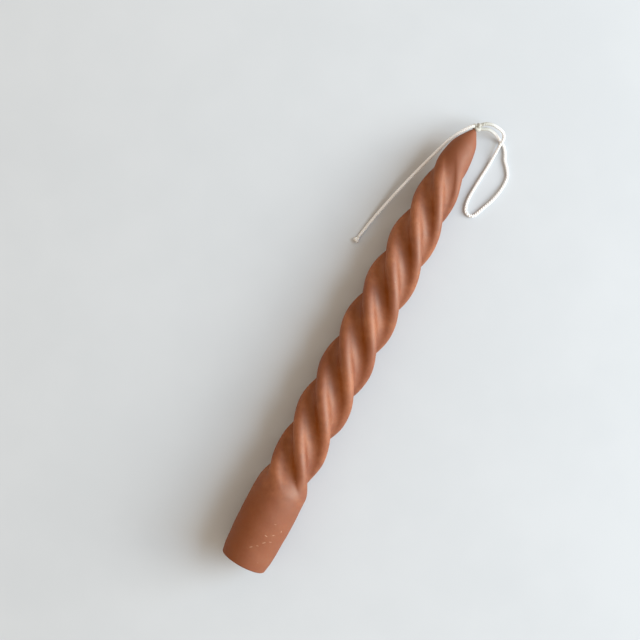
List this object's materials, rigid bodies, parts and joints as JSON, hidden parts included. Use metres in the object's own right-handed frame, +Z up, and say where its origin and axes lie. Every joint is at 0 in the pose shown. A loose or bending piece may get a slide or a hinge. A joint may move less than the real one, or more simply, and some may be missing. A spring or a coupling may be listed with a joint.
{
  "type": "spiral taper candle",
  "caption": "Spiral taper candle lying on its side, with twisted wax strands, a plain round foot and a long knotted cotton wick left uncut at the tip.",
  "frame": {"origin": "on the table, under the middle of the wax as it lies", "axes": "+X from the flat base to the tip, +Y towards the side where the wick's tail lies, +Z up from the table"},
  "size_m": [0.2372, 0.0522, 0.0256],
  "materials": {
    "wax": "terracotta wax with a soft satin sheen",
    "wick": "braided undyed cotton, wax-soaked by the tip"
  },
  "bodies": {
    "root": {"wax_body": "wax", "wick_core": "wick", "wick_tip_knot": "wick", "wick_loop": "wick", "wick_tail": "wick", "wick_end_knot": "wick"}
  },
  "joints": []
}
